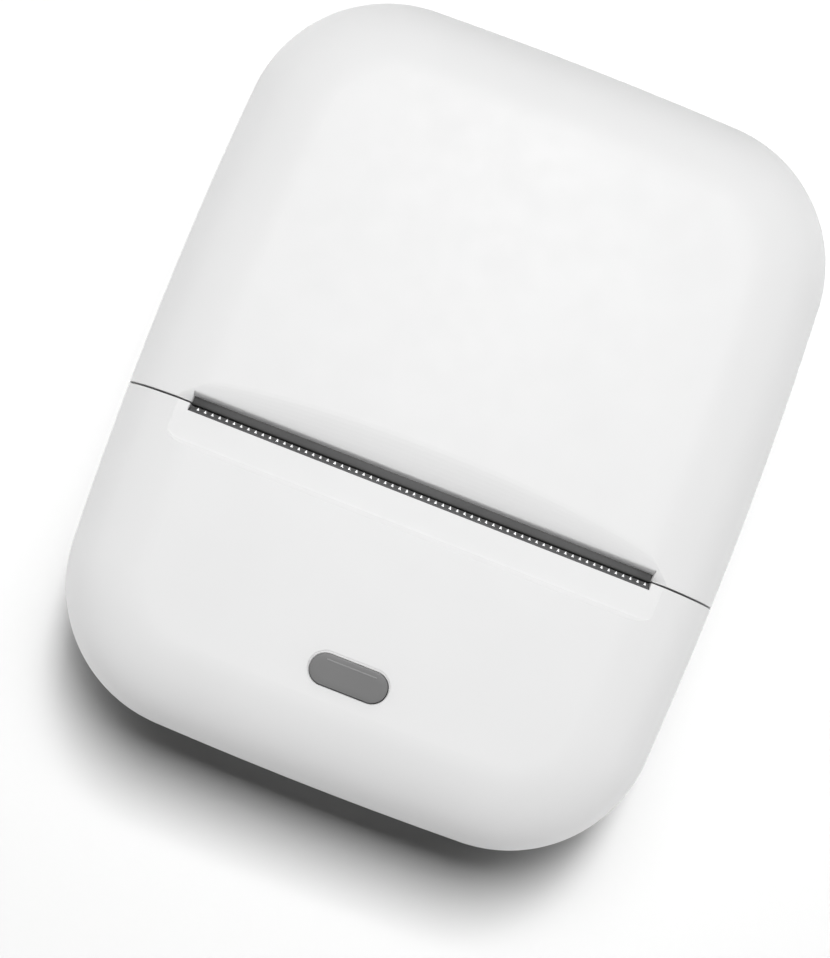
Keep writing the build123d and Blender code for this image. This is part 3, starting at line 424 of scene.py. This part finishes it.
class Rule(Nodes):
    """A Geometry Nodes tree under construction, with named inputs."""

    def __init__(self, name, sizes, materials):
        super().__init__(bpy.data.node_groups.new(name, "GeometryNodeTree"))
        self.sizes, self.materials = sizes, materials
        face = self.tree.interface
        for key, value in sizes.items():
            kind = "NodeSocketInt" if isinstance(value, int) else "NodeSocketFloat"
            face.new_socket(key, in_out="INPUT", socket_type=kind)
        for key in materials:
            face.new_socket(key, in_out="INPUT", socket_type="NodeSocketMaterial")
        face.new_socket("Geometry", in_out="OUTPUT", socket_type="NodeSocketGeometry")
        self.given = self.tree.nodes.new("NodeGroupInput").outputs

    def vector(self, x=0.0, y=0.0, z=0.0):
        """A vector from three values."""
        return self.add("ShaderNodeCombineXYZ", {"X": x, "Y": y, "Z": z}).outputs["Vector"]

    def move(self, shape, x=0.0, y=0.0, z=0.0, turn=(0.0, 0.0, 0.0)):
        """The shape, turned and then moved."""
        return self.add("GeometryNodeTransform", {
            "Geometry": shape, "Translation": self.vector(x, y, z), "Rotation": turn}).outputs[0]

    def copies(self, shape, points):
        """The shape at each point."""
        return self.add("GeometryNodeInstanceOnPoints", {
            "Points": points, "Instance": shape}).outputs[0]

    def row(self, count, start, step):
        """Points in a straight row."""
        return self.add("GeometryNodeMeshLine", {
            "Count": count, "Start Location": start, "Offset": step}, mode="OFFSET").outputs[0]

    def join(self, *shapes):
        """Several shapes as one."""
        node = self.add("GeometryNodeJoinGeometry")
        for shape in shapes:
            self.tree.links.new(shape, node.inputs[0])
        return node.outputs[0]

    def finish(self, shape, material):
        """The shape as real faces with its material."""
        real = self.add("GeometryNodeRealizeInstances", {"Geometry": shape}).outputs[0]
        return self.add("GeometryNodeSetMaterial", {
            "Geometry": real, "Material": material}).outputs[0]

    def make(self, name, result, body, slot):
        """Runs the tree once and gives its plain mesh as a piece that rides on the body."""
        end = self.tree.nodes.new("NodeGroupOutput")
        self.tree.links.new(result, end.inputs[0])
        blank = bpy.data.objects.new(name + "_rule", bpy.data.meshes.new(name + "_blank"))
        bpy.context.scene.collection.objects.link(blank)
        maker = blank.modifiers.new("rule", "NODES")
        maker.node_group = self.tree
        wanted = {**self.sizes, **self.materials}
        for item in self.tree.interface.items_tree:
            if item.in_out == "INPUT":
                maker[item.identifier] = wanted[item.name]
        ready = blank.evaluated_get(bpy.context.evaluated_depsgraph_get())
        mesh = bpy.data.meshes.new_from_object(ready)
        blank.modifiers.remove(maker)
        bpy.data.objects.remove(blank)
        mesh.name = name
        piece = bpy.data.objects.new(name, mesh)
        bpy.context.scene.collection.objects.link(piece)
        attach(piece, body)
        return piece


# Tear blade

TOOTH_PITCH = 0.962 * MM
TOOTH_SHIFT = 0.24 * MM  # the row stands off the slot's middle
TOOTH_BACK = 0.1 * MM  # from the CAD blade's front to the tips
TOOTH_LONG = 0.37 * MM
TOOTH_WIDE = 0.35 * MM
TOOTH_FLAT = 0.6
TOOTH_POINT = 0.04
BLADE_THICK = 0.35 * MM
BLADE_BREAK = 0.04 * MM
NOSE_REACH = 0.45 * MM
NOSE_ROUND = 0.05 * MM
NOSE_DEPTHS = (1.5 * MM, 1.0 * MM, 0.7 * MM, 0.6 * MM, 0.45 * MM)


def blade_points(low, high):
    """The bright ground teeth of the tear blade, in a row."""
    bright = metal("ground steel", (0.7, 0.7, 0.705), 0.16, grain=(1.0, 0.2, 1.0),
                   grain_size=0.05 * MM, stain=0.94, edge=0.02 * MM)
    r = Rule("blade points", {
        "Count": int((high.x - low.x) / TOOTH_PITCH), "Pitch": TOOTH_PITCH, "Shift": TOOTH_SHIFT,
        "Long": TOOTH_LONG, "Wide": TOOTH_WIDE, "Flat": TOOTH_FLAT, "Point": TOOTH_POINT,
        "Tip": high.y - TOOTH_BACK, "Top": high.z}, {"Steel": bright})
    g = r.given
    cone = r.add("GeometryNodeMeshCone", {
        "Vertices": 4, "Radius Top": r.math("MULTIPLY", g["Wide"], g["Point"]),
        "Radius Bottom": r.math("MULTIPLY", g["Wide"], math.sqrt(0.5)),
        "Depth": g["Long"]}).outputs["Mesh"]
    spike = r.move(cone, turn=(0.0, 0.0, math.pi / 4))
    spike = r.move(spike, turn=(-math.pi / 2, 0.0, 0.0))
    drop = r.math("MULTIPLY", r.math("MULTIPLY", g["Wide"], g["Flat"]), 0.5)
    root = r.math("SUBTRACT", g["Tip"], g["Long"])
    tooth = r.add("GeometryNodeTransform", {
        "Geometry": spike, "Scale": r.vector(1.0, 1.0, g["Flat"]),
        "Translation": r.vector(0.0, root, r.math("SUBTRACT", g["Top"], drop))}).outputs[0]
    gaps = r.math("SUBTRACT", g["Count"], 1.0)
    half_row = r.math("MULTIPLY", r.math("MULTIPLY", gaps, g["Pitch"]), 0.5)
    start = r.math("SUBTRACT", g["Shift"], half_row)
    places = r.row(g["Count"], r.vector(start), r.vector(g["Pitch"]))
    row = r.finish(r.copies(tooth, places), g["Steel"])
    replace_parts(r.make("blade_points", row, "case", "blade_steel"), "tear_blade")


def blade_strip(low, high):
    """The dark strip behind the teeth, made near black as painted shade along the teeth's roots,
    and the grey backing that closes the gap under them.
    """
    root = low.y + BLADE_THICK
    nose = root + NOSE_REACH
    brink = high.z - BLADE_BREAK
    outline = [(low.y, low.z), (root, low.z), (root, brink), (root - BLADE_BREAK, high.z),
               (low.y + BLADE_BREAK, high.z), (low.y, brink)]
    # Near black, so that the strip's top reads as the shade line at the teeth's roots: painted
    # shade.
    strip_painted_shade = moulded("blued steel", (0.07, 0.07, 0.073), roughness=0.45, grain=0.08 * MM, depth=1e-6,
                    edge=0.03 * MM, clean=0.8).done()
    ends = (low.x, high.x)
    own(bar("blade_strip", outline, ends, strip_painted_shade, 20.0), "case", "blade_steel", "tear_blade")
    reaches = (root, nose, nose, nose - NOSE_ROUND, root)
    under = [(y, high.z - depth) for y, depth in zip(reaches, NOSE_DEPTHS)]
    backing = bar("blade_backing", under, ends, grained_grey(), 20.0)
    own(backing, "case", "button_grey", "tear_blade")


# Head springs

SPRING_TURNS = 1.5
SPRING_BREAK = 0.1  # turns left out of each half
SPRING_WIRE = 0.4 * MM
SPRING_GAP = 0.1 * MM  # from each half's end to the springs' middle


def half_springs(name, body, first, last, phase, steel):
    """Half of each spring behind the head, so that its coils can close up as the head rocks."""
    low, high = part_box("head_springs")
    radius = (high.z - low.z - SPRING_WIRE) / 2
    r = Rule(name, {
        "Turns": SPRING_TURNS - SPRING_BREAK, "Radius": radius, "Wire": SPRING_WIRE / 2,
        "Long": first - last, "Phase": phase, "Side": high.x - radius - SPRING_WIRE / 2,
        "Rise": (low.z + high.z) / 2, "Start": first}, {"Steel": steel})
    g = r.given
    coil = r.add("GeometryNodeCurveSpiral", {
        "Resolution": 24, "Rotations": g["Turns"], "Start Radius": g["Radius"],
        "End Radius": g["Radius"], "Height": g["Long"]}).outputs[0]
    section = r.add("GeometryNodeCurvePrimitiveCircle", {
        "Resolution": 10, "Radius": g["Wire"]}).outputs[0]
    wire = r.add("GeometryNodeCurveToMesh", {
        "Curve": coil, "Profile Curve": section, "Fill Caps": True}).outputs[0]
    turned = r.move(wire, turn=r.vector(z=g["Phase"]))
    lying = r.move(turned, turn=(math.pi / 2, 0.0, 0.0))
    left = r.move(lying, r.math("MULTIPLY", g["Side"], -1.0), g["Start"], g["Rise"])
    right = r.move(lying, g["Side"], g["Start"], g["Rise"])
    smooth = r.add("GeometryNodeSetShadeSmooth", {"Geometry": r.join(left, right)}).outputs[0]
    piece = r.make(name, r.finish(smooth, g["Steel"]), body, "pin_steel")
    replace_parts(piece, "head_springs")


def head_springs():
    """The two springs, each in a half on the head and a half on the case."""
    low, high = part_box("head_springs")
    middle = (low.y + high.y) / 2
    inset = SPRING_WIRE / 2
    steel = metal("spring steel", (0.62, 0.62, 0.63), 0.22, grain=(0.3, 0.3, 1.0),
                  grain_size=0.1 * MM, edge=0.02 * MM)
    half_springs("spring_fronts", "head", high.y - inset, middle + SPRING_GAP, 0.0, steel)
    half_springs("spring_backs", "case", middle - SPRING_GAP, low.y + inset,
                 math.tau * SPRING_TURNS, steel)


# Slot edge of the cover

DISH_HALF = 35.4 * MM
DISH_REACH = 5.9 * MM
DISH_DEPTH = 1.5 * MM
DISH_ROLL = 4.4 * MM
PARTING_Y = -10.0 * MM
LIP_HALF = 30.7 * MM
LIP_CUT = 1.5 * MM
LIP_END = 1.0 * MM
LIP_FALL = 2.4 * MM
LIP_LEG = 0.2 * MM
LIP_SLOPE = math.radians(66.0)
LIP_START_PULL = 0.3 * MM
LIP_END_PULL = 1.2 * MM
LIP_STEPS = 12
LIP_STATIONS = 64
HALVINGS = 30  # steps of the search for a height in the dish


def dish_height(x, reach):
    """Height of the cover's face in the dish, at a distance from the parting line."""
    low, high = 0.0, 1.0
    for _ in range(HALVINGS):
        share = (low + high) / 2
        wide, deep = DISH_HALF - DISH_ROLL * share, DISH_REACH - DISH_ROLL * share
        if (x / wide) ** 2 + (reach / deep) ** 2 > 1.0:
            high = share
        else:
            low = share
    return face_z - DISH_DEPTH * low ** 2


def lip_section(x):
    """One cut through the rounded lip: from the dish's edge down into the slot and back."""
    start = Vector((PARTING_Y + LIP_CUT, dish_height(x, LIP_CUT)))
    end = Vector((PARTING_Y + LIP_END, start.y - LIP_FALL))
    first = start - Vector((math.cos(LIP_SLOPE), math.sin(LIP_SLOPE))) * LIP_START_PULL
    last = end + Vector((0.0, LIP_END_PULL))
    points = []
    for k in range(LIP_STEPS + 1):
        t = k / LIP_STEPS
        u = 1 - t
        at = start * u ** 3 + first * 3 * t * u ** 2 + last * 3 * t ** 2 * u + end * t ** 3
        points.append((x, at.x, at.y))
    foot = end.y - LIP_LEG
    return points + [(x, end.x, foot), (x, start.x, foot)]


def cover_lip(finish):
    """Rounded edge of the cover over the paper slot."""
    stations = [LIP_HALF * (2 * k / LIP_STATIONS - 1) for k in range(LIP_STATIONS + 1)]
    lip = loft("cover_lip", [lip_section(x) for x in stations], finish, 35.0)
    own(lip, "cover", "case_white")


GUIDE_FRONT = -0.05 * MM
GUIDE_THICK = 1.34 * MM
GUIDE_GAP = 0.06 * MM
GUIDE_EDGE = 0.15 * MM


def slot_guide():
    """Grained grey bar under the cover's edge that leads the paper out along the blade."""
    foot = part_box("platen_bracket")[1].z + GUIDE_GAP
    top = foot + GUIDE_THICK
    front, back = PARTING_Y + GUIDE_FRONT, PARTING_Y + LIP_CUT
    edge = GUIDE_EDGE
    outline = [(back, foot), (front + edge, foot), (front, foot + edge), (front, top - 1.6 * edge),
               (front + 0.5 * edge, top - 0.6 * edge), (front + 1.6 * edge, top), (back, top)]
    guide = bar("slot_guide", outline, (-LIP_HALF, LIP_HALF), grained_grey(), 50.0)
    own(guide, "cover", "button_grey")


# Button

BUTTON_Y = -34.6 * MM
BUTTON_HOLE = (10.6 * MM, 4.4 * MM)
BUTTON_RING = (10.26 * MM, 4.12 * MM)
BUTTON_CAP = (10.12 * MM, 3.98 * MM)
BUTTON_SHIFT = (0.01 * MM, -0.08 * MM)
RING_SHIFT = (0.05 * MM, -0.13 * MM)
BUTTON_EDGE = 0.1 * MM
BUTTON_CREASE = 1.17 * MM
BUTTON_SLOPE = math.tan(math.radians(1.5))
CROWN_SHARES = (0.35, 0.62, 0.8, 0.93)
CROWN_PINCH = 0.4
FLANGE_DEPTH = 3.6 * MM
FLANGE_THICK = 1.0 * MM
FLANGE_REACH = 1.1 * MM
STEM_RADIUS = 1.1 * MM
STEM_BREAK = 0.1 * MM
STEM_BITE = 0.01 * MM
RIDGE_HALF = 3.3 * MM
RIDGE_WIDE = 0.13 * MM
RIDGE_HIGH = 0.06 * MM
RIDGE_SUNK = 0.05 * MM
RING_DEPTH = 1.6 * MM
RING_EDGE = 0.08 * MM
RING_SUNK = 0.004 * MM
HAIR = 0.001 * MM  # keeps two sections apart where the outline steps in


def stadium(size, z, margin=0.0, shift=(0.0, 0.0), around=24):
    """Points round a stadium about the button's middle."""
    radius = size[1] / 2 + margin
    half = (size[0] - size[1]) / 2
    points = []
    for side in (1, -1):
        for k in range(around + 1):
            a = math.pi * (k / around - 0.5)
            points.append((shift[0] + side * (half + radius * math.cos(a)),
                           BUTTON_Y + shift[1] + side * radius * math.sin(a), z))
    return points


def quarter(steps):
    """The two offsets of a quarter round at each step, in radii: one grows to 1, one falls to 0."""
    for k in range(steps + 1):
        a = math.pi / 2 * k / steps
        yield 1.0 - math.cos(a), 1.0 - math.sin(a)


def button_cap(top):
    """Grey cap with a flange, a soft edge and a slope along its hinge side."""
    flange = top - FLANGE_DEPTH
    rings = [stadium(BUTTON_CAP, flange, FLANGE_REACH),
             stadium(BUTTON_CAP, flange + FLANGE_THICK, FLANGE_REACH),
             stadium(BUTTON_CAP, flange + FLANGE_THICK + HAIR, shift=BUTTON_SHIFT)]
    crease = BUTTON_Y + BUTTON_CREASE
    for inward, down in quarter(6):
        ring = stadium(BUTTON_CAP, top - BUTTON_EDGE * down, -BUTTON_EDGE * inward, BUTTON_SHIFT)
        rings.append([(x, y, z - max(0.0, y - crease) * BUTTON_SLOPE) for x, y, z in ring])
    return rings + crown(rings[-1], crease)


def crown(rim, crease):
    """The cap's top inside its rim, closed towards a line along its middle."""
    level = max(z for x, y, z in rim)
    middle = BUTTON_Y + BUTTON_SHIFT[1]
    rings = []
    for share in CROWN_SHARES:
        ring = []
        for x, y, z in rim:
            across = middle + (y - middle) * (1 - share)
            fall = max(0.0, across - crease) * BUTTON_SLOPE
            ring.append((x * (1 - CROWN_PINCH * share), across, level - fall))
        rings.append(ring)
    return rings


def button():
    """The cap, its stem and the fine ridge along its crease, which is a lighter grey than the cap:
    a painted highlight.
    """
    low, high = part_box("power_button")
    top = high.z - RIDGE_HIGH
    grey = button_grey()
    cap = loft("button_cap", button_cap(top), grey, 40.0)
    own(cap, "button", "button_grey", "power_button")
    turns = [math.tau * k / 24 for k in range(24)]
    levels = ((STEM_RADIUS - STEM_BREAK, low.z), (STEM_RADIUS, low.z + STEM_BREAK),
              (STEM_RADIUS, top - FLANGE_DEPTH + STEM_BITE))
    rings = [[(r * math.cos(a), BUTTON_Y + r * math.sin(a), z) for a in turns] for r, z in levels]
    stem = loft("button_stem", rings, grey, 40.0)
    own(stem, "button", "button_grey", "power_button")
    crease = BUTTON_Y + BUTTON_CREASE
    peak, foot = top + RIDGE_HIGH, top - RIDGE_SUNK
    outline = [(crease - RIDGE_WIDE, foot), (crease - 0.3 * RIDGE_WIDE, peak), (crease, peak),
               (crease + RIDGE_WIDE, foot)]
    # The ridge is raised so that it catches the light, and it is also coloured a lighter grey than
    # the cap: a painted highlight along the crease.
    light = moulded("ridge grey", (0.27, 0.27, 0.27), roughness=0.4, edge=0.01 * MM).done()
    ridge = bar("button_ridge", outline, (-RIDGE_HALF, RIDGE_HALF), light, 80.0)
    own(ridge, "button", "button_grey", "power_button")


def button_ring(finish):
    """White lining of the button's hole, rounded at its inner edge."""
    top, foot = face_z - RING_SUNK, face_z - RING_DEPTH
    rings = [stadium(BUTTON_HOLE, foot), stadium(BUTTON_HOLE, top)]
    for down, inward in quarter(4):
        rings.append(stadium(BUTTON_RING, top - RING_EDGE * down, RING_EDGE * inward, RING_SHIFT))
    rings.append(stadium(BUTTON_RING, foot, shift=RING_SHIFT))
    own(loft("button_ring", rings + rings[:1], finish, 40.0, caps=False), "case", "case_white")


# Floor, world and lamps

FLOOR_HALF = 3.0
FLOOR_BOUNCE = 0.1  # brightness for the light that it throws back
FLOOR_SEEN = 0.42  # brightness for the camera and in gloss
FLOOR_FADE = (0.16, 0.42)  # distances where the fade starts and ends
AMBIENT = 0.03
GLOSS_FROM = 60.0  # lamps that hang lower don't show in gloss
FILL_AWAY = 1.0
FILL_SIZE = (0.5, 0.2)
# Each fill lamp's name, azimuth, height and power.
FILLS = (
    ("left_low", -94.0, 8.0, 1.7),
    ("left_middle", -94.0, 25.0, 1.2),
    ("left_high", -94.0, 45.0, 2.45),
    ("right_low", 94.0, 8.0, 1.7),
    ("right_middle", 94.0, 25.0, 1.2),
    ("right_high", 94.0, 45.0, 2.45),
    ("front_low", 180.0, 8.0, 0.78),
    ("front_middle", 180.0, 25.0, 0.6),
    ("front_high", 180.0, 45.0, 0.25),
    ("back_low", 0.0, 15.0, 2.35),
    ("back_middle", 0.0, 35.0, 0.6),
)


def floor_white():
    """White floor that shows only the shadow. It fades out, and is clear from below."""
    f = Finish("floor white", (0.9, 0.9, 0.9), 0.9)
    path = f.add("ShaderNodeLightPath").outputs
    seen = f.math("MAXIMUM", path["Is Camera Ray"], path["Is Glossy Ray"])
    f.link(f.mix(seen, (FLOOR_BOUNCE,) * 3, (FLOOR_SEEN,) * 3), "Base Color")
    f.set(Specular_IOR_Level=0.0)
    reach = f.add("ShaderNodeVectorMath", {0: f.place}, operation="LENGTH").outputs["Value"]
    behind = f.add("ShaderNodeNewGeometry").outputs["Backfacing"]
    open_to = f.math("MAXIMUM", behind, path["Is Shadow Ray"])
    gone = f.math("MAXIMUM", open_to, f.spread(reach, 0.0, 1.0, *FLOOR_FADE))
    clear = f.add("ShaderNodeBsdfTransparent").outputs["BSDF"]
    both = f.add("ShaderNodeMixShader", {0: gone, 1: f.shader.outputs["BSDF"], 2: clear})
    f.tree.links.new(both.outputs["Shader"], f.tree.nodes["Material Output"].inputs["Surface"])
    return f.done()


def lay_floor():
    """The surface that the printer rests on."""
    mesh = bpy.data.meshes.new("floor")
    h = FLOOR_HALF
    mesh.from_pydata([(-h, -h, 0), (h, -h, 0), (h, h, 0), (-h, h, 0)], [], [(0, 1, 2, 3)])
    floor = bpy.data.objects.new("floor", mesh)
    mesh.materials.append(floor_white())
    bpy.context.scene.collection.objects.link(floor)
    return floor


def light_world():
    """Faint light from all round, and a white background for the camera, gloss and clear pieces."""
    world = bpy.data.worlds.new("studio")
    world.use_nodes = True
    n = Nodes(world.node_tree)
    back = n.tree.nodes["Background"]
    back.inputs["Color"].default_value = (1.0, 1.0, 1.0, 1.0)
    path = n.add("ShaderNodeLightPath").outputs
    seen = n.math("MAXIMUM", path["Is Camera Ray"], path["Is Glossy Ray"])
    seen = n.math("MAXIMUM", seen, path["Is Transmission Ray"])
    strength = n.add("ShaderNodeMapRange", {"Value": seen, "To Min": AMBIENT, "To Max": 1.0})
    n.tree.links.new(strength.outputs["Result"], back.inputs["Strength"])
    bpy.context.scene.world = world


def floor_share(floor, state):
    """A collection that keeps a lamp's light off the floor, or to it."""
    lit = bpy.data.collections.new("floor " + state.lower())
    lit.objects.link(floor)
    for entry in lit.collection_objects:
        entry.light_linking.link_state = state
    return lit


def hang_lamp(name, azimuth, height, distance, size, power, lit=None):
    """A soft rectangular lamp that faces the printer. Azimuth 0 is over the hinge, 90 over +X.

    Only the high lamps show in gloss.
    """
    data = bpy.data.lights.new(name, "AREA")
    data.shape = "RECTANGLE"
    data.size, data.size_y = size
    data.energy = power
    around, up = math.radians(azimuth), math.radians(height)
    level = math.cos(up)
    towards = Vector((math.sin(around) * level, math.cos(around) * level, math.sin(up)))
    lamp = bpy.data.objects.new(name, data)
    turn = towards.to_track_quat("Z", "Y").to_matrix().to_4x4()
    lamp.matrix_world = Matrix.Translation(towards * distance) @ turn
    bpy.context.scene.collection.objects.link(lamp)
    lamp.visible_glossy = height > GLOSS_FROM
    if lit is not None:
        lamp.light_linking.receiver_collection = lit


shell = dress_all()
blade_points(*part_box("tear_blade"))
blade_strip(*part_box("tear_blade"))
head_springs()
cover_lip(shell)
slot_guide()
button()
button_ring(shell)
place_camera()
floor = lay_floor()
light_world()
spared = floor_share(floor, "EXCLUDE")
only = floor_share(floor, "INCLUDE")
hang_lamp("key", 0.0, 76.0, 0.42, (0.067, 0.126), 0.32)
hang_lamp("floor_key", 0.0, 75.0, 1.0, (0.14, 0.34), 15.5, only)
hang_lamp("floor_soft", 0.0, 75.0, 1.0, (0.7, 0.34), 8.5, only)
hang_lamp("top", 0.0, 76.0, 0.42, (0.3, 0.3), 0.19, spared)
for name, azimuth, height, power in FILLS:
    hang_lamp(name, azimuth, height, FILL_AWAY, FILL_SIZE, power, spared)
hang_lamp("below", 0.0, -80.0, 1.0, (0.7, 0.7), 5.0, spared)

bpy.context.scene.view_settings.view_transform = "Standard"
